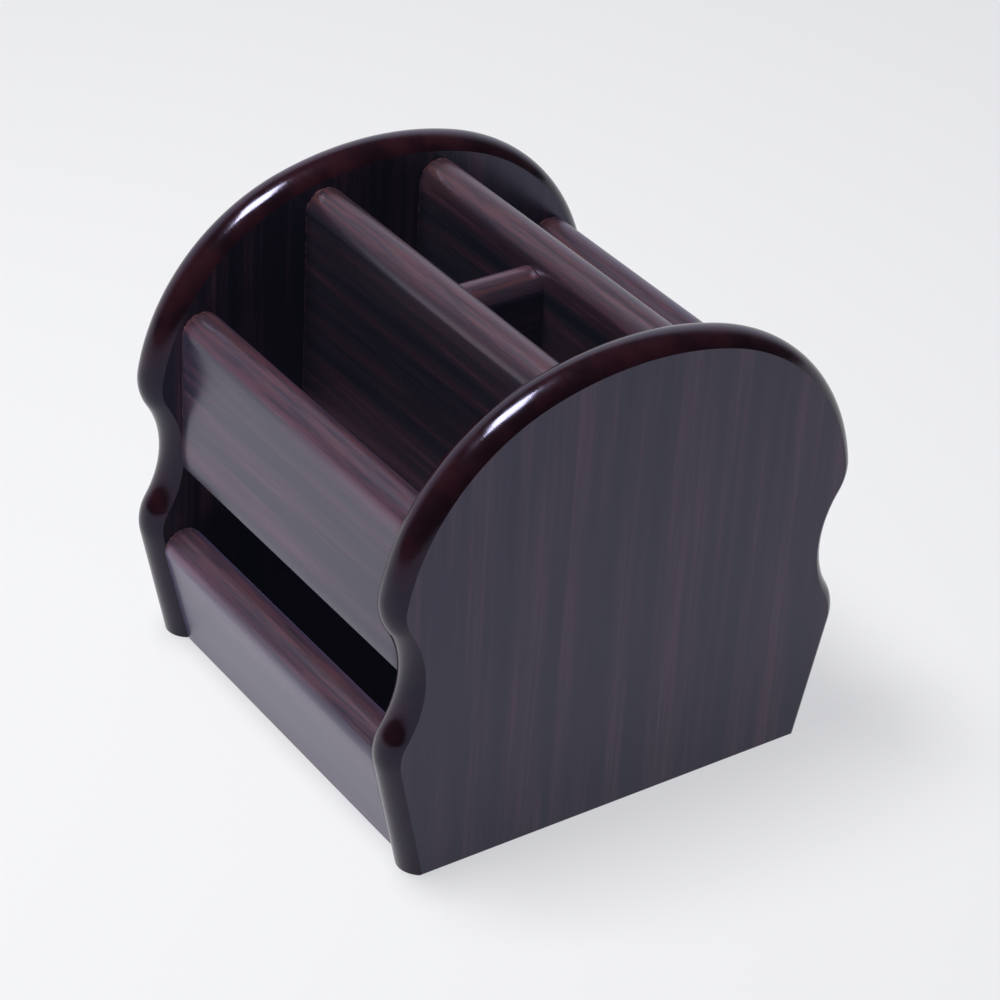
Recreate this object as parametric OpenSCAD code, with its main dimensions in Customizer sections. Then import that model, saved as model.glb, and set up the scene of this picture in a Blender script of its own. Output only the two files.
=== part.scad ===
// Desk organizer: two domed end panels joined by upright boards, leaning lower boards,
// shelves and a base board, all on blind dowels. Millimetres. X is the width, -Y the front,
// Z up, and the origin is the middle of the footprint on the desk.

/* [Overall] */
// Width over the outer faces of the two end panels
body_w = 144; // [110:1:190]
// Height of the end panels at the middle of the dome
panel_h = 150.4; // [124:0.2:184]
// Depth of the end panels over their lobes, front to back
panel_depth = 154.6; // [146:0.2:190]
// Thickness of the end panels
panel_t = 12.7; // [10:0.1:16]
// Thickness of every board between the end panels
board_t = 12.7; // [10:0.1:16]

/* [End panel outline] */
// Depth of the end panels at the waist, front to back
waist_depth = 140.6; // [128:0.2:150]
// Radius of the lobes above and below the waist
lobe_r = 16; // [12:0.5:20]
// Height of the lower lobe's centre
lower_lobe_z = 41; // [34:0.5:48]
// Height of the upper lobe's centre
upper_lobe_z = 90; // [80:0.5:98]
// Lean of the straight edge below the lower lobe, in degrees from upright
foot_taper = 12.5; // [8:0.5:16]
// Direction of the edge where the upper lobe runs into the shoulder, in degrees
shoulder_from = 10; // [0:1:20]
// Rise of the flat arc on the top of the dome
dome_rise = 4.5; // [3:0.1:8]
// Turn of the rounded edge from its middle to the crease with a flat face, in degrees
edge_turn = 62; // [50:1:80]

/* [Upright boards] */
// Depth over the outer faces of the front and rear upper boards
upper_depth = 134; // [124:0.5:140]
// Clear depth of the front upper bay
front_bay = 28; // [20:0.5:32]
// Clear depth of the middle bay
middle_bay = 26; // [16:0.5:31]
// Height of the bottom edge of the upper boards and of the shelves
upper_bottom_z = 62.2; // [54:0.2:70]
// Height of the rounded top of the upper boards
upper_top_z = 112.4; // [98:0.2:120]
// Height of the rounded top of the two tall boards
tall_top_z = 142.4; // [118:0.2:144]

/* [Pen divider] */
// Thickness of the divider across the middle bay
divider_t = 12.7; // [8:0.1:16]
// Height of the divider's rounded top
divider_top_z = 136.2; // [113:0.2:138]
// Offset of the divider from the middle of the width
divider_shift = -0.6; // [-15:0.1:15]

/* [Lower bins] */
// Distance from the end panels' foot in to the lower boards' outer face, at the desk
lower_inset = 6.7; // [4:0.1:12]
// Lean of the lower boards, in degrees from upright
lower_lean = 13.5; // [8:0.5:16]
// Height of the rounded top of the lower boards
lower_top_z = 40.2; // [33:0.2:48]
// Thickness of the base board
base_t = 12.7; // [9:0.1:16]
// Thickness of the shelves under the upper bays
shelf_t = 12.7; // [9:0.1:16]

/* [Dowels] */
// Diameter of the dowels
dowel_d = 6; // [4:0.5:7]
// Length of the dowels between the boards and the end panels
dowel_l = 24; // [18:1:28]
// Wood left inside the divider between the ends of its front and rear dowels
divider_core = 9; // [6:0.5:12]
// How far a dowel goes into the face that it stands on
dowel_face_depth = 8; // [5:0.5:9]
// Radial room between a dowel and its hole, filled with glue
dowel_clearance = 0.05; // [0.02:0.01:0.1]
// Room left past each end of a dowel for spare glue
dowel_end_room = 0.5; // [0.2:0.1:1]
// Distance from a shelf's front or rear edge to the nearest dowel's axis
shelf_dowel_edge = 4.5; // [4.2:0.1:6]
// Distance between the two dowels in each end of the base board
base_dowel_pitch = 60; // [40:1:70]
// Distance from a board's top or bottom edge to the nearest dowel's axis
dowel_edge = 13; // [9:0.5:16]

/* [Hidden] */

panel_color = [0.20, 0.11, 0.14];
board_color = [0.30, 0.18, 0.21];
dowel_color = [0.80, 0.66, 0.46];

// Left and right in X, front and rear in Y
LEFT = -1;
RIGHT = 1;
FRONT = -1;
REAR = 1;

round_steps = 12;     // facets across the end panels' rounded edge
curve_fn = 64;        // segments of a full circle on cylinders and rounded tops
inner_w = body_w - 2 * panel_t;

// --- End panel outline, in (Y, Z): a chain of tangent arcs, worked out for the rear half ---

lobe_y = panel_depth / 2 - lobe_r;
// The waist arc touches both lobes and passes through the waist
waist_gap = waist_depth / 2 - lobe_y;
lobe_rise = (upper_lobe_z - lower_lobe_z) / 2;
waist_r = (waist_gap * waist_gap + lobe_rise * lobe_rise - lobe_r * lobe_r)
          / (2 * (lobe_r - waist_gap));
waist_y = waist_depth / 2 + waist_r;
waist_z = lower_lobe_z + lobe_rise;
waist_turn = asin(lobe_rise / (waist_r + lobe_r));
// The shoulder arc leaves the upper lobe at this point and climbs by shoulder_rise to the dome
shoulder_start_y = lobe_y + lobe_r * cos(shoulder_from);
shoulder_start_z = upper_lobe_z + lobe_r * sin(shoulder_from);
shoulder_rise = panel_h - dome_rise - shoulder_start_z;
// The rise of the dome's arc over its half width is dome_slope, the root of a quadratic that
// makes the lobe, the shoulder and the dome touch without a corner
start_slope = tan(shoulder_from / 2);
slope_a = shoulder_rise * (1 - start_slope) + shoulder_start_y * (1 + start_slope);
slope_b = shoulder_start_y * (1 - start_slope) - (dome_rise + shoulder_rise) * (1 + start_slope);
slope_c = -dome_rise * (1 - start_slope);
dome_slope = (-slope_b + sqrt(slope_b * slope_b - 4 * slope_a * slope_c)) / (2 * slope_a);
shoulder_to = 90 - 2 * atan(dome_slope);
dome_r = dome_rise / (1 - sin(shoulder_to));
shoulder_r = (shoulder_start_y - dome_rise / dome_slope) / (cos(shoulder_from) - cos(shoulder_to));
shoulder_y = lobe_y - (shoulder_r - lobe_r) * cos(shoulder_from);
shoulder_z = upper_lobe_z - (shoulder_r - lobe_r) * sin(shoulder_from);
// Half depth of the panel where it stands on the desk
foot_y = lobe_y + lobe_r * cos(foot_taper)
         - (lower_lobe_z - lobe_r * sin(foot_taper)) * tan(foot_taper);

// One entry of an outline is [y, z, direction of its outward normal]
function arc(cy, cz, r, from, to, steps) =
    [for (i = [1 : steps]) let (a = from + (to - from) * i / steps)
        [cy + r * cos(a), cz + r * sin(a), a]];
// A hollow arc is seen from its far side, so its normals point to its centre
function hollow_arc(cy, cz, r, from, to, steps) =
    [for (i = [1 : steps]) let (a = from + (to - from) * i / steps)
        [cy - r * cos(a), cz - r * sin(a), a]];

rear_half = concat(
    [[lobe_y + lobe_r * cos(foot_taper), lower_lobe_z - lobe_r * sin(foot_taper), -foot_taper]],
    arc(lobe_y, lower_lobe_z, lobe_r, -foot_taper, waist_turn, 8),
    hollow_arc(waist_y, waist_z, waist_r, waist_turn, -waist_turn, 12),
    arc(lobe_y, upper_lobe_z, lobe_r, -waist_turn, shoulder_from, 8),
    arc(shoulder_y, shoulder_z, shoulder_r, shoulder_from, shoulder_to, 20),
    arc(0, panel_h - dome_r, dome_r, shoulder_to, 90, 8));
front_half = [for (i = [len(rear_half) - 2 : -1 : 0])
    [-rear_half[i][0], rear_half[i][1], 180 - rear_half[i][2]]];

// The outline moved in by d, with the foot kept flat on the desk
function inset(d) = concat(
    [[foot_y - d / cos(foot_taper), 0]],
    [for (p = concat(rear_half, front_half)) [p[0] - d * cos(p[2]), p[1] - d * sin(p[2])]],
    [[-foot_y + d / cos(foot_taper), 0]]);

// The rounded edge of this outline: a segment of a disc swept from foot to foot
edge_r = panel_t / 2 / sin(edge_turn);
edge_depth = edge_r * (1 - cos(edge_turn));
module round_edge() {
    rings = [for (k = [0 : round_steps]) let (a = edge_turn * (2 * k / round_steps - 1))
        [for (p = inset(edge_r * (1 - cos(a)))) [edge_r * sin(a), p[0], p[1]]]];
    n = len(rings[0]);
    m = round_steps + 1;
    sides = [for (k = [0 : m - 1], i = [0 : n - 2]) let (j = (k + 1) % m)
        [k * n + i, j * n + i, j * n + i + 1, k * n + i + 1]];
    feet = [[for (k = [m - 1 : -1 : 0]) k * n], [for (k = [0 : m - 1]) k * n + n - 1]];
    polyhedron(points = [for (ring = rings, p = ring) p], faces = concat(feet, sides));
}

// --- Where the boards stand, as (Y, Z) of the front ones, and the dowels in their ends ---

upper_y = upper_depth / 2 - board_t / 2;
front_tall_y = -upper_depth / 2 + board_t + front_bay + board_t / 2;
rear_tall_y = front_tall_y + board_t + middle_bay;
front_shelf_y = [-upper_depth / 2 + board_t, front_tall_y - board_t / 2];
rear_shelf_y = [rear_tall_y + board_t / 2, upper_depth / 2 - board_t];
// Half depth of the lower boards' outer and inner faces at height z
function lower_outer(z) = foot_y - lower_inset + z * tan(lower_lean);
function lower_inner(z) = lower_outer(z) - board_t / cos(lower_lean);
function lower_middle(z) = (lower_outer(z) + lower_inner(z)) / 2;

function upper_points(side) = [for (z = [upper_bottom_z + dowel_edge, upper_top_z - dowel_edge])
    [side * upper_y, z]];
function tall_points(y) = [for (z = [base_t + 2 * dowel_edge, tall_top_z - 2 * dowel_edge])
    [y, z]];
function lower_points(side) = [for (z = [dowel_edge, lower_top_z - dowel_edge])
    [side * lower_middle(z), z]];
function shelf_points(span) = [for (y = [span[0] + shelf_dowel_edge, span[1] - shelf_dowel_edge])
    [y, upper_bottom_z + shelf_t / 2]];
base_points = [for (s = [-1, 1]) [s * base_dowel_pitch / 2, base_t / 2]];
panel_points = concat(upper_points(FRONT), upper_points(REAR),
                      tall_points(front_tall_y), tall_points(rear_tall_y),
                      lower_points(FRONT), lower_points(REAR),
                      shelf_points(front_shelf_y), shelf_points(rear_shelf_y), base_points);
divider_heights = [base_t + 2 * dowel_edge, divider_top_z - 2 * dowel_edge];

// --- Shared shapes ---

// Stands a (Y, Z) drawing up and gives it the width w, centred on X = 0
module across(w) {
    translate([-w / 2, 0, 0])
        rotate([90, 0, 90])
            linear_extrude(w)
                children();
}

// An upright board with a full round top, as a drawing from height bottom to height top
module round_top(t, bottom, top) {
    translate([-t / 2, bottom])
        square([t, top - t / 2 - bottom]);
    translate([0, top - t / 2])
        intersection() {
            circle(d = t, $fn = curve_fn);
            translate([-t, 0])
                square([2 * t, t]);
        }
}

// A cylinder along X that starts at the plane X = x and runs l in the direction of side
module rod_x(side, x, l, d) {
    translate([x, 0, 0])
        rotate([0, side * 90, 0])
            cylinder(h = l, d = d, $fn = curve_fn);
}

// Holes in both ends of a board, one pair for each of its points
module end_holes(points) {
    for (side = [LEFT, RIGHT], p = points)
        translate([0, p[0], p[1]])
            rod_x(-side, side * (inner_w / 2 + 1), dowel_l - dowel_face_depth + dowel_end_room + 1,
                  dowel_d + 2 * dowel_clearance);
}

// The dowels at both ends of a board
module end_dowels(points) {
    color(dowel_color)
        for (side = [LEFT, RIGHT], p = points)
            translate([0, p[0], p[1]])
                rod_x(-side, side * (inner_w / 2 + dowel_face_depth - dowel_end_room), dowel_l,
                      dowel_d);
}

// --- End panels ---

module end_panel(side) {
    color(panel_color)
        union() {
            difference() {
                translate([side * (body_w - panel_t) / 2, 0, 0])
                    across(panel_t)
                        polygon(inset(edge_depth));
                for (p = panel_points)
                    translate([0, p[0], p[1]])
                        rod_x(side, side * (inner_w / 2 - 1), dowel_face_depth + 1,
                              dowel_d + 2 * dowel_clearance);
            }
            translate([side * (body_w - panel_t) / 2, 0, 0])
                round_edge();
        }
}

module end_panel_left() { end_panel(LEFT); }
module end_panel_right() { end_panel(RIGHT); }

// --- Upper boards, front and rear ---

module upper_board(side) {
    color(board_color)
        difference() {
            translate([0, side * upper_y, 0])
                across(inner_w)
                    round_top(board_t, upper_bottom_z, upper_top_z);
            end_holes(upper_points(side));
        }
}

module front_upper_board() { upper_board(FRONT); }
module rear_upper_board() { upper_board(REAR); }

// --- Tall boards, which stand on the base and hold the pen divider between them ---

// face is the side of the board that the divider meets
module tall_board(y, face) {
    color(board_color)
        difference() {
            translate([0, y, 0])
                across(inner_w)
                    round_top(board_t, base_t, tall_top_z);
            end_holes(tall_points(y));
            for (z = divider_heights)
                translate([divider_shift, y + face * (board_t / 2 + 1), z])
                    rotate([face * 90, 0, 0])
                        cylinder(h = dowel_face_depth + 1, d = dowel_d + 2 * dowel_clearance,
                                 $fn = curve_fn);
        }
}

module front_tall_board() { tall_board(front_tall_y, REAR); }
module rear_tall_board() { tall_board(rear_tall_y, FRONT); }

// --- Pen divider ---

divider_y = (front_tall_y + rear_tall_y) / 2;
// How far the holes go into the divider's ends, and the dowels that fill them
divider_hole = (middle_bay - divider_core) / 2 + dowel_end_room;
divider_dowel_l = divider_hole + dowel_face_depth - 2 * dowel_end_room;

module cross_divider() {
    color(board_color)
        difference() {
            translate([divider_shift, divider_y + middle_bay / 2, 0])
                rotate([90, 0, 0])
                    linear_extrude(middle_bay)
                        round_top(divider_t, base_t, divider_top_z);
            for (face = [FRONT, REAR], z = divider_heights)
                translate([divider_shift, divider_y + face * (middle_bay / 2 + 1), z])
                    rotate([face * 90, 0, 0])
                        cylinder(h = divider_hole + 1, d = dowel_d + 2 * dowel_clearance,
                                 $fn = curve_fn);
        }
}

// --- Lower boards, which lean out like the end panels' feet ---

// The drawing is of the rear one: a leaning strip with a full round top, cut flat at the desk
module lower_profile() {
    top_z = lower_top_z - board_t / 2;
    top_y = lower_middle(top_z);
    across_y = board_t / 2 * cos(lower_lean);
    across_z = board_t / 2 * sin(lower_lean);
    polygon([[lower_inner(0), 0], [lower_outer(0), 0],
             [top_y + across_y, top_z - across_z], [top_y - across_y, top_z + across_z]]);
    translate([top_y, top_z])
        rotate(-lower_lean)
            intersection() {
                circle(d = board_t, $fn = curve_fn);
                translate([-board_t, 0])
                    square([2 * board_t, board_t]);
            }
}

module lower_board(side) {
    color(board_color)
        difference() {
            across(inner_w)
                if (side == REAR) lower_profile();
                else mirror([1, 0]) lower_profile();
            end_holes(lower_points(side));
        }
}

module front_lower_board() { lower_board(FRONT); }
module rear_lower_board() { lower_board(REAR); }

// --- Base board, fitted between the leaning lower boards ---

module base_board() {
    color(board_color)
        difference() {
            across(inner_w)
                polygon([[-lower_inner(0), 0], [lower_inner(0), 0],
                         [lower_inner(base_t), base_t], [-lower_inner(base_t), base_t]]);
            end_holes(base_points);
        }
}

// --- Shelves, which close the upper bays from below ---

module shelf(span) {
    color(board_color)
        difference() {
            across(inner_w)
                translate([span[0], upper_bottom_z])
                    square([span[1] - span[0], shelf_t]);
            end_holes(shelf_points(span));
        }
}

module front_shelf() { shelf(front_shelf_y); }
module rear_shelf() { shelf(rear_shelf_y); }

// --- Dowels, one group for each board ---

module front_upper_dowels() { end_dowels(upper_points(FRONT)); }
module rear_upper_dowels() { end_dowels(upper_points(REAR)); }
module front_tall_dowels() { end_dowels(tall_points(front_tall_y)); }
module rear_tall_dowels() { end_dowels(tall_points(rear_tall_y)); }
module front_lower_dowels() { end_dowels(lower_points(FRONT)); }
module rear_lower_dowels() { end_dowels(lower_points(REAR)); }
module base_dowels() { end_dowels(base_points); }
module front_shelf_dowels() { end_dowels(shelf_points(front_shelf_y)); }
module rear_shelf_dowels() { end_dowels(shelf_points(rear_shelf_y)); }

module divider_dowels() {
    color(dowel_color)
        for (face = [FRONT, REAR], z = divider_heights)
            translate([divider_shift,
                       divider_y + face * (middle_bay / 2 + dowel_face_depth - dowel_end_room), z])
                rotate([face * 90, 0, 0])
                    cylinder(h = divider_dowel_l, d = dowel_d, $fn = curve_fn);
}

end_panel_left();
end_panel_right();
front_upper_board();
rear_upper_board();
front_tall_board();
rear_tall_board();
front_lower_board();
rear_lower_board();
base_board();
front_shelf();
rear_shelf();
cross_divider();
front_upper_dowels();
rear_upper_dowels();
front_tall_dowels();
rear_tall_dowels();
front_lower_dowels();
rear_lower_dowels();
base_dowels();
front_shelf_dowels();
rear_shelf_dowels();
divider_dowels();
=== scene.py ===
"""Desk organizer in dark rosewood foil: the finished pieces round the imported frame.

Lengths are metres. X is the width, -Y the front, Z up, and the desk is at Z = 0.
"""
import math

import bmesh
import bpy
from mathutils import Matrix, Vector


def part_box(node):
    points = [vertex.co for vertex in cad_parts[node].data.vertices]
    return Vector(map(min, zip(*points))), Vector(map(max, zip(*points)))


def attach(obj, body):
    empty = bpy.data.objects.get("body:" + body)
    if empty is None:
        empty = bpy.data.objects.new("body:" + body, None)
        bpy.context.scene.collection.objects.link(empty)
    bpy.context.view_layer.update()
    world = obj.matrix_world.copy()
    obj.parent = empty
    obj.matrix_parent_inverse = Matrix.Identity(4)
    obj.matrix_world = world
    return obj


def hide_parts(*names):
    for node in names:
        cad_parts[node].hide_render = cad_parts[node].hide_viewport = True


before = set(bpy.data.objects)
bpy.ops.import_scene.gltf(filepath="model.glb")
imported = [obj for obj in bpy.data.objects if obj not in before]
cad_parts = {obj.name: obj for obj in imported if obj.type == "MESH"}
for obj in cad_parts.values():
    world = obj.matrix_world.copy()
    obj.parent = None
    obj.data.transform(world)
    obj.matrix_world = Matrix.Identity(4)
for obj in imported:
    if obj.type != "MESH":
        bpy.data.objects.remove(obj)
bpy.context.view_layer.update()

MM = 0.001
BODY = "root"

# --- Sizes of the end panels' outline that the frame's boxes don't give ---
WAIST_DEPTH = 140.6 * MM
LOBE_R = 16 * MM
LOWER_LOBE_Z = 41 * MM
UPPER_LOBE_Z = 90 * MM
FOOT_TAPER = math.radians(12.5)
SHOULDER_FROM = math.radians(10)
DOME_RISE = 4.5 * MM
EDGE_TURN = math.radians(62)    # turn of the edge from its middle to the crease with a face
LOWER_LEAN = math.radians(13.5)

# --- Fineness and small edges of the finished meshes ---
OUTLINE_STEP = 1.2 * MM     # length of an edge along the end panels' outline
EDGE_FACETS = 24            # facets across the end panels' rounded edge
PANEL_COLUMNS = 30          # faces across an end panel
TOP_FACETS = 14             # facets from a board's side to the crest of its rounded top
BOARD_STEP = 4 * MM         # length of a face along a board
FOOT_ROUND = 0.4 * MM       # rounding of an end panel's corners on the desk
CORNER_ROUND = 0.35 * MM    # rounding of a board's long corners
END_ROUND = 0.25 * MM       # rounding of a board's ends, where they meet a panel


# --- Meshes ---

def arc(cy, cz, r, start, end, step=OUTLINE_STEP, facets=None):
    """Points [y, z, direction of the outward normal] of an arc, without its first one."""
    count = facets or max(2, math.ceil(abs(end - start) * r / step))
    turns = [start + (end - start) * i / count for i in range(1, count + 1)]
    return [(cy + r * math.cos(a), cz + r * math.sin(a), a) for a in turns]


def hollow_arc(cy, cz, r, start, end):
    """The same for an arc whose normals point to its centre."""
    return [(2 * cy - y, 2 * cz - z, a) for y, z, a in arc(cy, cz, r, start, end)]


def panel_outline(depth, height):
    """The rear half of an end panel's outline from above its foot to the top of the dome."""
    lobe_y = depth / 2 - LOBE_R
    waist_gap = WAIST_DEPTH / 2 - lobe_y
    lobe_rise = (UPPER_LOBE_Z - LOWER_LOBE_Z) / 2
    waist_r = (waist_gap**2 + lobe_rise**2 - LOBE_R**2) / (2 * (LOBE_R - waist_gap))
    waist_turn = math.asin(lobe_rise / (waist_r + LOBE_R))
    start_y = lobe_y + LOBE_R * math.cos(SHOULDER_FROM)
    start_z = UPPER_LOBE_Z + LOBE_R * math.sin(SHOULDER_FROM)
    rise = height - DOME_RISE - start_z
    slope = math.tan(SHOULDER_FROM / 2)
    a = rise * (1 - slope) + start_y * (1 + slope)
    b = start_y * (1 - slope) - (DOME_RISE + rise) * (1 + slope)
    c = -DOME_RISE * (1 - slope)
    dome_slope = (-b + math.sqrt(b * b - 4 * a * c)) / (2 * a)
    shoulder_to = math.pi / 2 - 2 * math.atan(dome_slope)
    dome_r = DOME_RISE / (1 - math.sin(shoulder_to))
    shoulder_r = (start_y - DOME_RISE / dome_slope) / (math.cos(SHOULDER_FROM) - math.cos(shoulder_to))
    shoulder_y = lobe_y - (shoulder_r - LOBE_R) * math.cos(SHOULDER_FROM)
    shoulder_z = UPPER_LOBE_Z - (shoulder_r - LOBE_R) * math.sin(SHOULDER_FROM)
    taper_end = (lobe_y + LOBE_R * math.cos(FOOT_TAPER),
                 LOWER_LOBE_Z - LOBE_R * math.sin(FOOT_TAPER), -FOOT_TAPER)
    return ([taper_end]
            + arc(lobe_y, LOWER_LOBE_Z, LOBE_R, -FOOT_TAPER, waist_turn)
            + hollow_arc(WAIST_DEPTH / 2 + waist_r, LOWER_LOBE_Z + lobe_rise, waist_r,
                         waist_turn, -waist_turn)
            + arc(lobe_y, UPPER_LOBE_Z, LOBE_R, -waist_turn, SHOULDER_FROM)
            + arc(shoulder_y, shoulder_z, shoulder_r, SHOULDER_FROM, shoulder_to)
            + arc(0, height - dome_r, dome_r, shoulder_to, math.pi / 2))


def inset(chain, d):
    return [(u - d * math.cos(a), v - d * math.sin(a)) for u, v, a in chain]


def mirrored(chain, about=0.0):
    return [(2 * about - u, v, math.pi - a) for u, v, a in chain]


def solid(name, rings, columns):
    """A closed mesh lofted through rings. A ring is two chains of points that climb the two
    sides of a section and share their last point. Ends and underside become grids of columns
    faces. Material 0 is on the first and last ring's faces, and 1 on the rest."""
    bm = bmesh.new()
    loops, feet = [], []
    for side_a, side_b in rings:
        a = [bm.verts.new(p) for p in side_a]
        b = [bm.verts.new(p) for p in side_b[:-1]]
        loops.append((a, b + [a[-1]]))
        feet.append(rung(bm, a[0], b[0], columns))
    for (a0, b0), (a1, b1), foot0, foot1 in zip(loops, loops[1:], feet, feet[1:]):
        for strip0, strip1 in ((a0, a1), (b0, b1), (foot0, foot1)):
            for i in range(len(strip0) - 1):
                bm.faces.new((strip0[i], strip0[i + 1], strip1[i + 1], strip1[i])).material_index = 1
    for (a, b), foot in ((loops[0], feet[0]), (loops[-1], feet[-1])):
        below = foot
        for va, vb in zip(a[1:-1], b[1:-1]):
            row = rung(bm, va, vb, columns)
            for i in range(columns):
                bm.faces.new((below[i], below[i + 1], row[i + 1], row[i]))
            below = row
        for i in range(columns):
            bm.faces.new((below[i], below[i + 1], a[-1]))
    bmesh.ops.recalc_face_normals(bm, faces=bm.faces)
    for face in bm.faces:
        face.smooth = True
    for edge in bm.edges:
        kinds = {face.material_index for face in edge.link_faces}
        edge.smooth = len(kinds) == 1 and edge.calc_face_angle(0) < math.radians(35)
    mesh = bpy.data.meshes.new(name)
    bm.to_mesh(mesh)
    bm.free()
    made = bpy.data.objects.new(name, mesh)
    bpy.context.scene.collection.objects.link(made)
    return made


def rung(bm, start, end, columns):
    """The vertices of a straight row from start to end, in columns steps."""
    between = [bm.verts.new(start.co.lerp(end.co, i / columns)) for i in range(1, columns)]
    return [start, *between, end]


def end_panel(node):
    lo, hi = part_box(node)
    half_t = (hi.x - lo.x) / 2
    middle_x = (hi.x + lo.x) / 2
    edge_r = half_t / math.sin(EDGE_TURN)
    outline = panel_outline(hi.y - lo.y, hi.z)
    taper_y, taper_z, _ = outline[0]
    foot_steps = max(2, math.ceil(taper_z / OUTLINE_STEP / 3))
    rings = []
    for k in range(EDGE_FACETS + 1):
        turn = EDGE_TURN * (2 * k / EDGE_FACETS - 1)
        x = middle_x + edge_r * math.sin(turn)
        d = edge_r * (1 - math.cos(turn))
        over = max(0.0, edge_r * abs(math.sin(turn)) - (half_t - FOOT_ROUND))
        foot_z = FOOT_ROUND - math.sqrt(max(0.0, FOOT_ROUND**2 - over**2))
        climb = [foot_z + (taper_z - foot_z) * i / foot_steps for i in range(foot_steps)]
        straight = [(taper_y - (taper_z - z) * math.tan(FOOT_TAPER) - d / math.cos(FOOT_TAPER), z)
                    for z in climb]
        rear = straight + inset(outline, d)
        rings.append(([(x, y, z) for y, z in rear], [(x, -y, z) for y, z in rear]))
    return solid(node + "_finished", rings, PANEL_COLUMNS)


def stretch(start, end, step=BOARD_STEP):
    """Places from start to end, both left out, about a step apart."""
    count = max(1, round(abs(end - start) / step))
    return [start + (end - start) * i / count for i in range(1, count)]


def upright_chain(middle, t, bottom, top):
    """One side of an upright board's section: small corner below, full round above."""
    side = middle + t / 2
    corner = arc(side - CORNER_ROUND, bottom + CORNER_ROUND, CORNER_ROUND, -math.pi / 2, 0, facets=3)
    return ([(side - CORNER_ROUND, bottom, -math.pi / 2)] + corner
            + [(side, z, 0.0) for z in stretch(bottom + CORNER_ROUND, top - t / 2)]
            + [(side, top - t / 2, 0.0)]
            + arc(middle, top - t / 2, t / 2, 0, math.pi / 2, facets=TOP_FACETS))


def flat_chain(middle, half_bottom, half_top, bottom, top):
    """One side of a flat board's section, whose edge may lean."""
    lean = math.atan2(half_top - half_bottom, top - bottom)
    r = CORNER_ROUND
    low = (half_bottom - r * math.cos(lean) + r * math.tan(lean), bottom + r)
    high = (half_top - r * math.cos(lean) - r * math.tan(lean), top - r)
    return ([(middle + low[0], bottom, -math.pi / 2)]
            + arc(middle + low[0], low[1], r, -math.pi / 2, -lean, facets=3)
            + arc(middle + high[0], high[1], r, -lean, math.pi / 2, facets=5)
            + [(middle, top, math.pi / 2)])


def board(node, chains, along, columns=4):
    """A board that runs along axis 0 or 1 between the faces of the node's box."""
    lo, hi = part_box(node)
    start, end = lo[along], hi[along]
    turns = [math.radians(a) for a in (0, 30, 60)]
    ends = [(END_ROUND * (1 - math.cos(a)), END_ROUND * (1 - math.sin(a))) for a in turns]
    middle = stretch(start + END_ROUND, end - END_ROUND)
    places = ([(start + w, d) for w, d in ends] + [(start + END_ROUND, 0.0)]
              + [(w, 0.0) for w in middle]
              + [(end - END_ROUND, 0.0)] + [(end - w, d) for w, d in reversed(ends)])

    def placed(chain, w, d):
        section = [(u, max(v, lo.z)) for u, v in inset(chain, d)]
        return [(w, u, v) if along == 0 else (u, w, v) for u, v in section]

    rings = [tuple(placed(chain, w, d) for chain in chains) for w, d in places]
    return solid(node + "_finished", rings, columns)


def upright_board(node, along=0):
    lo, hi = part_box(node)
    across = 1 - along
    middle, t = (lo[across] + hi[across]) / 2, hi[across] - lo[across]
    chain = upright_chain(middle, t, lo.z, hi.z)
    return board(node, (chain, mirrored(chain, middle)), along)


def lower_board(node, side):
    """A leaning board, cut flat at the desk, against the edge of the base board."""
    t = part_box("front_upper_board")[1].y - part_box("front_upper_board")[0].y
    inner_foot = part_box("base_board")[1].y
    outer_foot = inner_foot + t / math.cos(LOWER_LEAN)
    top_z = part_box(node)[1].z - t / 2
    top_y = (inner_foot + outer_foot) / 2 + top_z * math.tan(LOWER_LEAN)

    outer_rise = top_z - t / 2 * math.sin(LOWER_LEAN)
    inner_rise = top_z + t / 2 * math.sin(LOWER_LEAN)
    steps = [0.0, *stretch(0.0, outer_rise), outer_rise]

    def face(foot, rise, normal):
        heights = [z * rise / outer_rise for z in steps]
        return [(foot + z * math.tan(LOWER_LEAN), z, normal) for z in heights]

    crest = math.pi / 2 - LOWER_LEAN
    outer = (face(outer_foot, outer_rise, -LOWER_LEAN)
             + arc(top_y, top_z, t / 2, -LOWER_LEAN, crest, facets=TOP_FACETS))
    inner = (face(inner_foot, inner_rise, math.pi - LOWER_LEAN)
             + arc(top_y, top_z, t / 2, math.pi - LOWER_LEAN, crest, facets=TOP_FACETS))
    chains = (outer, inner) if side > 0 else (mirrored(outer), mirrored(inner))
    return board(node, chains, 0)


def flat_board(node, columns, lean=0.0):
    lo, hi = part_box(node)
    middle, half = (lo.y + hi.y) / 2, (hi.y - lo.y) / 2
    half_bottom = half - (hi.z - lo.z) * math.tan(lean)
    chain = flat_chain(middle, half_bottom, half, lo.z, hi.z)
    return board(node, (chain, mirrored(chain, middle)), 0, columns)


# --- Materials ---

# The foil's skins: how strongly they reflect, in which tint, how dusty they are, and how strong
# the reddish streaks are; the streak strength is partly painted light and shade, weaker on the
# boards inside the bays and stronger on the front boards
COOL_TINT = (0.68, 0.66, 1.0, 1)
WARM_TINT = (0.80, 0.66, 0.84, 1)
PANEL_SKIN = {"ior": 1.58, "tint": COOL_TINT, "dust": 0.0, "streak_painted_light": 1.0}
FRONT_SKIN = {"ior": 1.66, "tint": (0.73, 0.67, 0.95, 1), "dust": 0.04, "streak_painted_light": 1.1}
LOWER_SKIN = {"ior": 1.68, "tint": WARM_TINT, "dust": 0.16, "streak_painted_light": 1.3}
INNER_SKIN = {"ior": 1.72, "tint": WARM_TINT, "dust": 0.0, "streak_painted_light": 0.6}
LACQUER_IOR = 1.45
DUST_TINT = (0.50, 0.46, 1.0, 1)
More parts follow.
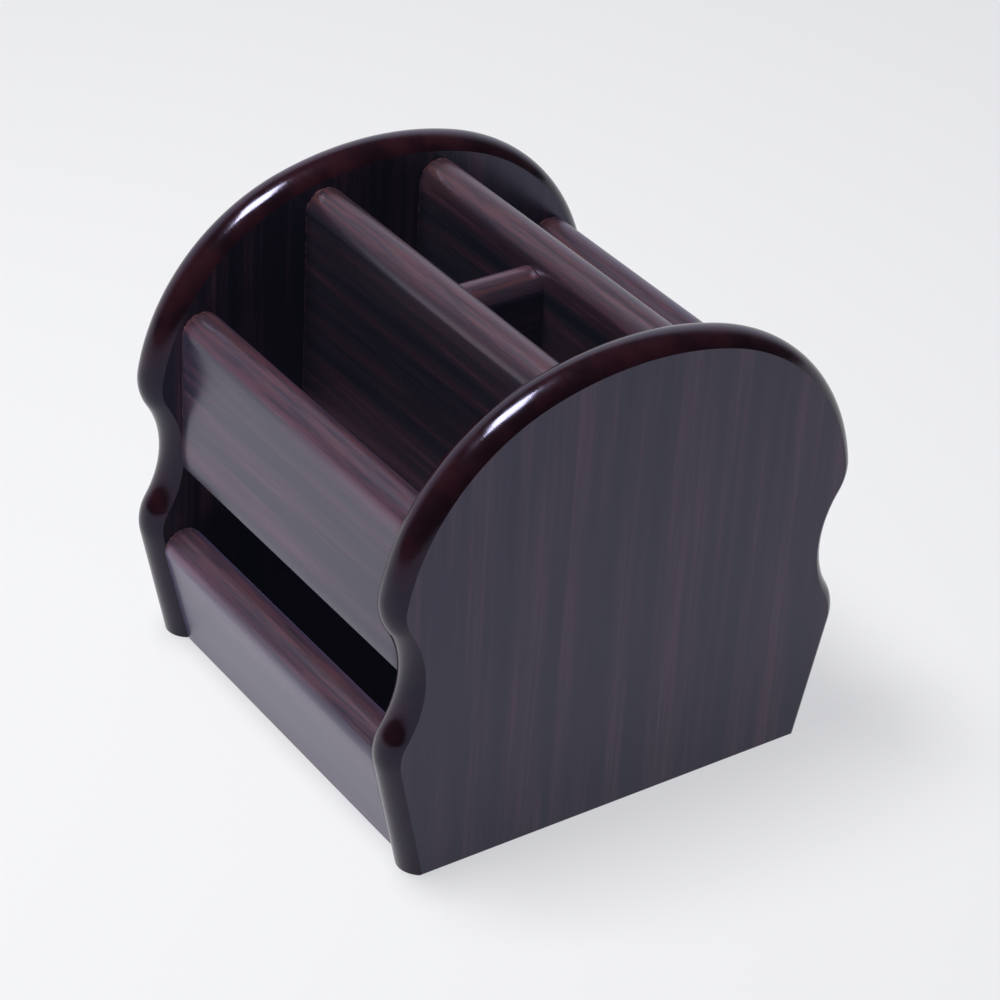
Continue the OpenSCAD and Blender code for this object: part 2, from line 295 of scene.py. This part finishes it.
# Every foil surface glows faintly in this colour: a painted glow standing in for the lens's glare
GLARE_GLOW = (0.0022, 0.0024, 0.0042, 1)    # the lens's glare, which keeps the deepest black open


def connect(tree, socket, value):
    if isinstance(value, bpy.types.NodeSocket):
        tree.links.new(value, socket)
    else:
        socket.default_value = value


def add(tree, kind, inputs=None, output=0, **settings):
    """A new node with its settings and inputs, and one of its outputs as the result."""
    made = tree.nodes.new("ShaderNode" + kind)
    for key, value in settings.items():
        setattr(made, key, value)
    for key, value in (inputs or {}).items():
        connect(tree, made.inputs[key], value)
    return made.outputs[output]


def math_node(tree, operation, a, b=0.0):
    return add(tree, "Math", {0: a, 1: b}, operation=operation)


def blend_color(tree, factor, a, b):
    return add(tree, "Mix", {0: factor, 6: a, 7: b}, output=2, data_type="RGBA")


def smooth(tree, value, low, high, to_low=0.0, to_high=1.0):
    return add(tree, "MapRange", {"Value": value, "From Min": low, "From Max": high,
                                  "To Min": to_low, "To Max": to_high},
               interpolation_type="SMOOTHSTEP")


def ramp(tree, value, stops):
    made = tree.nodes.new("ShaderNodeValToRGB")
    tree.links.new(value, made.inputs[0])
    made.color_ramp.interpolation = "EASE"
    elements = made.color_ramp.elements
    while len(elements) < len(stops):
        elements.new(0.5)
    for element, (place, color) in zip(elements, stops):
        element.position = place
        element.color = (*color, 1)
    return made.outputs[0]


def noise(tree, vector, size, detail=2.0, roughness=0.5, output=0):
    """Noise whose features are about size millimetres wide."""
    return add(tree, "TexNoise", {"Vector": vector, "Scale": 1 / size, "Detail": detail,
                                  "Roughness": roughness}, output=output)


def new_material(name):
    material = bpy.data.materials.new(name)
    material.use_nodes = True
    tree = material.node_tree
    tree.nodes.clear()
    shader = tree.nodes.new("ShaderNodeBsdfPrincipled")
    end = tree.nodes.new("ShaderNodeOutputMaterial")
    tree.links.new(shader.outputs[0], end.inputs[0])
    return material, tree, shader


def millimetres(tree, seed=(0, 0, 0)):
    """Object coordinates in millimetres, moved by seed so that no two pieces match."""
    place = add(tree, "TexCoord", output=3)
    return add(tree, "Mapping", {"Vector": place, "Location": seed, "Scale": (1000, 1000, 1000)})


def along_grain(tree, place, grain, squeeze):
    """The place with the grain's axis squeezed, which draws every feature out along it."""
    factors = [1.0, 1.0, 1.0]
    factors[grain] = squeeze
    return add(tree, "VectorMath", {0: place, 1: factors}, operation="MULTIPLY")


def specks(tree, place, spacing, radius, share):
    """Sparse round specks: 1 inside them. share is how many cells have one."""
    cell = tree.nodes.new("ShaderNodeTexVoronoi")
    cell.feature = "F1"
    tree.links.new(place, cell.inputs["Vector"])
    cell.inputs["Scale"].default_value = 1 / spacing
    near = math_node(tree, "LESS_THAN", cell.outputs["Distance"], radius / spacing)
    pick = add(tree, "SeparateColor", {0: cell.outputs["Color"]})
    chosen = math_node(tree, "LESS_THAN", pick, share)
    return math_node(tree, "MULTIPLY", near, chosen)


def foil(name, grain, seed, skin, crest_wear_and_light=0.8, end_faces=None):
    """Rosewood foil: near-black ground, reddish streaks along the grain, satin sheen.
    The argument after skin sets how strongly upward-facing crests of the rounded tops turn a
    lighter red, partly as handling wear and partly as painted top light. end_faces is where a board
    meets the end panels, at minus and plus that x."""
    material, tree, shader = new_material(name)
    place = millimetres(tree, seed)
    drawn = along_grain(tree, place, grain, 0.035)
    sway = noise(tree, drawn, 22, 2, output=1)
    sway = add(tree, "VectorMath", {0: sway, 1: (0.5, 0.5, 0.5)}, operation="SUBTRACT")
    drawn = add(tree, "VectorMath", {0: sway, 1: (5, 5, 5), 2: drawn}, operation="MULTIPLY_ADD")
    bands = noise(tree, drawn, 9, 3, 0.5)
    streaks = noise(tree, drawn, 4.0, 4, 0.6)
    hairs = noise(tree, along_grain(tree, place, grain, 0.02), 0.55, 2, 0.5)
    pores = noise(tree, along_grain(tree, place, grain, 0.06), 0.42, 2, 0.6)
    tone = math_node(tree, "MULTIPLY", bands, 0.36)
    tone = add(tree, "Math", {0: streaks, 1: 0.52, 2: tone}, operation="MULTIPLY_ADD")
    tone = add(tree, "Math", {0: hairs, 1: 0.12, 2: tone}, operation="MULTIPLY_ADD")
    # Streak colours scaled per skin: dimmer inside the bays as painted shade, brighter on the front
    # boards as painted light
    red_fibre = [channel * skin["streak_painted_light"] for channel in (0.026, 0.0125, 0.0175)]
    red_streak = [channel * skin["streak_painted_light"] for channel in (0.056, 0.0250, 0.0350)]
    ground = ramp(tree, tone, [(0.41, (0.0045, 0.0044, 0.0070)), (0.48, (0.0095, 0.0070, 0.0105)),
                               (0.53, red_fibre), (0.61, red_streak)])
    pore = smooth(tree, pores, 0.60, 0.72)
    ground = blend_color(tree, math_node(tree, "MULTIPLY", pore, 0.4), ground,
                         (0.0035, 0.0030, 0.0045, 1))
    normal = add(tree, "NewGeometry", output=1)
    up = add(tree, "SeparateXYZ", {0: normal}, output=2)
    fibres = noise(tree, along_grain(tree, place, grain, 0.05), 0.9, 3, 0.6)
    # Upward-facing crests turn a lighter red: partly handling wear, partly painted top light
    wear_and_top_light = math_node(tree, "MULTIPLY", smooth(tree, up, 0.2, 0.85), crest_wear_and_light)
    crest = ramp(tree, fibres, [(0.34, (0.009, 0.0065, 0.0090)), (0.66, (0.040, 0.0125, 0.0130))])
    color = blend_color(tree, wear_and_top_light, ground, crest)
    # Pinholes and dust specks let the pale fibreboard through
    dots = specks(tree, place, 14, 0.16, 0.10)
    color = blend_color(tree, math_node(tree, "MULTIPLY", dots, 0.5), color, (0.32, 0.24, 0.22, 1))
    # Ragged lighter red line where a board meets an end panel: partly worn foil edge, partly a painted
    # highlight of the rounded foil end catching light
    if end_faces:
        across = add(tree, "SeparateXYZ", {0: add(tree, "TexCoord", output=3)})
        end_seam_wear_and_glint = smooth(tree, math_node(tree, "ABSOLUTE", across),
                       end_faces - 0.6 * MM, end_faces - 0.2 * MM)
        ragged = smooth(tree, noise(tree, place, 1.6, 3, 0.7), 0.40, 0.60)
        color = blend_color(tree, math_node(tree, "MULTIPLY", end_seam_wear_and_glint, ragged), color,
                            (0.20, 0.085, 0.080, 1))
    tree.links.new(color, shader.inputs["Base Color"])
    gloss = add(tree, "Math", {0: hairs, 1: 0.10, 2: 0.20}, operation="MULTIPLY_ADD")
    gloss = add(tree, "Math", {0: wear_and_top_light, 1: 0.08, 2: gloss}, operation="MULTIPLY_ADD")
    tree.links.new(gloss, shader.inputs["Roughness"])
    relief = math_node(tree, "SUBTRACT", math_node(tree, "MULTIPLY", hairs, 0.5), pore)
    bump = add(tree, "Bump", {"Strength": 0.12, "Distance": 0.02 * MM, "Height": relief})
    waves = noise(tree, place, 9, 2)
    bump = add(tree, "Bump", {"Strength": 0.10, "Distance": 0.05 * MM, "Height": waves,
                              "Normal": bump})
    tree.links.new(bump, shader.inputs["Normal"])
    shader.inputs["IOR"].default_value = skin["ior"]
    shader.inputs["Specular Tint"].default_value = skin["tint"]
    shader.inputs["Sheen Weight"].default_value = skin["dust"]
    shader.inputs["Sheen Roughness"].default_value = 0.5
    shader.inputs["Sheen Tint"].default_value = DUST_TINT
    # Painted glow: the foil emits a trace of light in place of the lens's glare in the darkest places
    shader.inputs["Emission Color"].default_value = GLARE_GLOW
    shader.inputs["Emission Strength"].default_value = 1
    return material


def lacquer(name, seed):
    """High-gloss maroon lacquer on the rounded edges, with a faint orange peel."""
    material, tree, shader = new_material(name)
    place = millimetres(tree, seed)
    clouds = noise(tree, place, 14, 3, 0.55)
    color = ramp(tree, clouds, [(0.35, (0.0055, 0.0016, 0.0026)), (0.65, (0.013, 0.0034, 0.0052))])
    dots = specks(tree, place, 17, 0.14, 0.08)
    color = blend_color(tree, math_node(tree, "MULTIPLY", dots, 0.4), color, (0.30, 0.22, 0.2, 1))
    tree.links.new(color, shader.inputs["Base Color"])
    smear = noise(tree, place, 5, 3, 0.6)
    tree.links.new(smooth(tree, smear, 0.3, 0.75, 0.13, 0.20), shader.inputs["Roughness"])
    peel = noise(tree, place, 1.2, 2, 0.5)
    bump = add(tree, "Bump", {"Strength": 0.30, "Distance": 0.03 * MM, "Height": peel})
    tree.links.new(bump, shader.inputs["Normal"])
    shader.inputs["IOR"].default_value = LACQUER_IOR
    shader.inputs["Specular Tint"].default_value = COOL_TINT
    return material


def beech(name, grain):
    """Pale beech of the hidden dowels: short dark flecks along the grain."""
    material, tree, shader = new_material(name)
    place = millimetres(tree)
    growth = noise(tree, along_grain(tree, place, grain, 0.08), 1.4, 3, 0.6)
    flecks = noise(tree, along_grain(tree, place, grain, 0.25), 0.35, 1)
    color = ramp(tree, growth, [(0.35, (0.52, 0.33, 0.18)), (0.65, (0.70, 0.49, 0.29))])
    color = blend_color(tree, smooth(tree, flecks, 0.62, 0.70), color, (0.30, 0.16, 0.08, 1))
    tree.links.new(color, shader.inputs["Base Color"])
    tree.links.new(smooth(tree, growth, 0.3, 0.7, 0.55, 0.7), shader.inputs["Roughness"])
    bump = add(tree, "Bump", {"Strength": 0.3, "Distance": 0.05 * MM, "Height": growth})
    tree.links.new(bump, shader.inputs["Normal"])
    return material


# --- The finished pieces ---

X, Y, Z = 0, 1, 2


def finish_piece(piece, node, materials):
    for material in materials:
        piece.data.materials.append(material)
    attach(piece, BODY)
    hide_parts(node)


edge = lacquer("edge_lacquer", (3, 11, 5))
for number, node in enumerate(("end_panel_left", "end_panel_right")):
    face = foil(f"panel_foil_{number}", Z, (17 + 61 * number, 40 * number, 23 * number),
                PANEL_SKIN)
    finish_piece(end_panel(node), node, (face, edge))

inner_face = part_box("front_upper_board")[1].x
board_makers = {
    "front_upper_board": upright_board, "rear_upper_board": upright_board,
    "front_tall_board": upright_board, "rear_tall_board": upright_board,
    "front_lower_board": lambda node: lower_board(node, -1),
    "rear_lower_board": lambda node: lower_board(node, 1),
    "base_board": lambda node: flat_board(node, 16),
    "front_shelf": lambda node: flat_board(node, 6),
    "rear_shelf": lambda node: flat_board(node, 6),
}
skins = {"front_upper_board": FRONT_SKIN, "rear_upper_board": FRONT_SKIN,
         "front_lower_board": LOWER_SKIN, "rear_lower_board": LOWER_SKIN}
for number, (node, make) in enumerate(board_makers.items()):
    inside = node in ("base_board", "front_shelf", "rear_shelf")
    face = foil(f"board_foil_{number}", X, (31 * number + 7, 47 * number + 13, 19 * number + 29),
                skins.get(node, INNER_SKIN), 0.0 if inside else 0.8, inner_face)
    finish_piece(make(node), node, (face, face))
divider_foil = foil("divider_foil", Y, (5, 71, 13), FRONT_SKIN)
finish_piece(upright_board("cross_divider", Y), "cross_divider",
             (divider_foil, divider_foil))

dowel_woods = {X: beech("beech_across", X), Y: beech("beech_lengthwise", Y)}
for name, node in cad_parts.items():
    if name.endswith("dowels"):
        node.data.materials.clear()
        node.data.materials.append(dowel_woods[Y if name == "divider_dowels" else X])

# --- Floor, light and camera ---

FLOOR_RADIUS = 6.0
FLOOR_COLOR = (0.16, 0.16, 0.16, 1)
FLOOR_GLOW = (0.955, 0.96, 0.99, 1)
ROOM = (0.06, 0.06, 0.075, 1)
SWEEP = (0.74, 0.77, 0.92, 1)
SWEEP_WAY = (-0.95, 0.31, 0)
BACKDROP = (0.86, 0.86, 0.88, 1)


def floor():
    """A plain light table: it glows a little, so that the object's shadow stays faint."""
    bm = bmesh.new()
    bmesh.ops.create_circle(bm, cap_ends=True, segments=96, radius=FLOOR_RADIUS)
    mesh = bpy.data.meshes.new("floor")
    bm.to_mesh(mesh)
    bm.free()
    made = bpy.data.objects.new("floor", mesh)
    bpy.context.scene.collection.objects.link(made)
    material, tree, shader = new_material("pale_floor")
    shader.inputs["Base Color"].default_value = FLOOR_COLOR
    shader.inputs["Emission Color"].default_value = FLOOR_GLOW
    shader.inputs["Emission Strength"].default_value = 0.62
    shader.inputs["Roughness"].default_value = 0.8
    shader.inputs["Specular IOR Level"].default_value = 0.1
    mesh.materials.append(material)


def softbox(name, place, aim, width, depth, radiance):
    """A rectangular light whose surface has the given radiance."""
    data = bpy.data.lights.new(name, "AREA")
    data.shape = "RECTANGLE"
    data.size, data.size_y = width, depth
    data.energy = radiance * math.pi * width * depth
    made = bpy.data.objects.new(name, data)
    made.matrix_world = (Matrix.Translation(place)
                         @ (Vector(aim) - Vector(place)).to_track_quat("-Z", "Y").to_matrix().to_4x4())
    bpy.context.scene.collection.objects.link(made)


def studio():
    """A pale sweep behind on the left and a dim room elsewhere; the background itself is pale."""
    world = bpy.data.worlds.new("studio")
    bpy.context.scene.world = world
    world.use_nodes = True
    tree = world.node_tree
    tree.nodes.clear()
    way = add(tree, "TexCoord")
    behind = add(tree, "VectorMath", {0: way, 1: SWEEP_WAY}, output=1, operation="DOT_PRODUCT")
    height = add(tree, "SeparateXYZ", {0: way}, output=2)
    sweep = math_node(tree, "MULTIPLY", smooth(tree, behind, 0.25, 0.80),
                      smooth(tree, height, 0.52, 0.74, 1, 0))
    light = blend_color(tree, sweep, ROOM, SWEEP)
    seen = add(tree, "LightPath")
    light = blend_color(tree, seen, light, BACKDROP)
    shade = add(tree, "Background", {0: light, 1: 1.0})
    end = tree.nodes.new("ShaderNodeOutputWorld")
    tree.links.new(shade, end.inputs[0])


def camera():
    azimuth, elevation, roll = math.radians(54.377), math.radians(32.737), math.radians(3.391)
    distance = 1.0143
    target = Vector((-0.03245, 0.02894, 0.03514))
    back = Vector((math.sin(azimuth) * math.cos(elevation), -math.cos(azimuth) * math.cos(elevation),
                   math.sin(elevation)))
    level = (-back).cross(Vector((0, 0, 1))).normalized()
    upright = level.cross(-back)
    right = level * math.cos(roll) + upright * math.sin(roll)
    up = upright * math.cos(roll) - level * math.sin(roll)
    data = bpy.data.cameras.new("camera")
    data.sensor_width = 36
    data.lens = 119.16
    data.clip_start = 0.01
    made = bpy.data.objects.new("camera", data)
    made.matrix_world = Matrix.Translation(target + back * distance) @ Matrix(
        (right, up, back)).transposed().to_4x4()
    bpy.context.scene.collection.objects.link(made)
    bpy.context.scene.camera = made


floor()
softbox("overhead", (-0.125, -0.295, 1.05), (0, 0, 0.1), 0.42, 0.36, 47)
studio()
camera()
bpy.context.scene.view_settings.view_transform = "Standard"
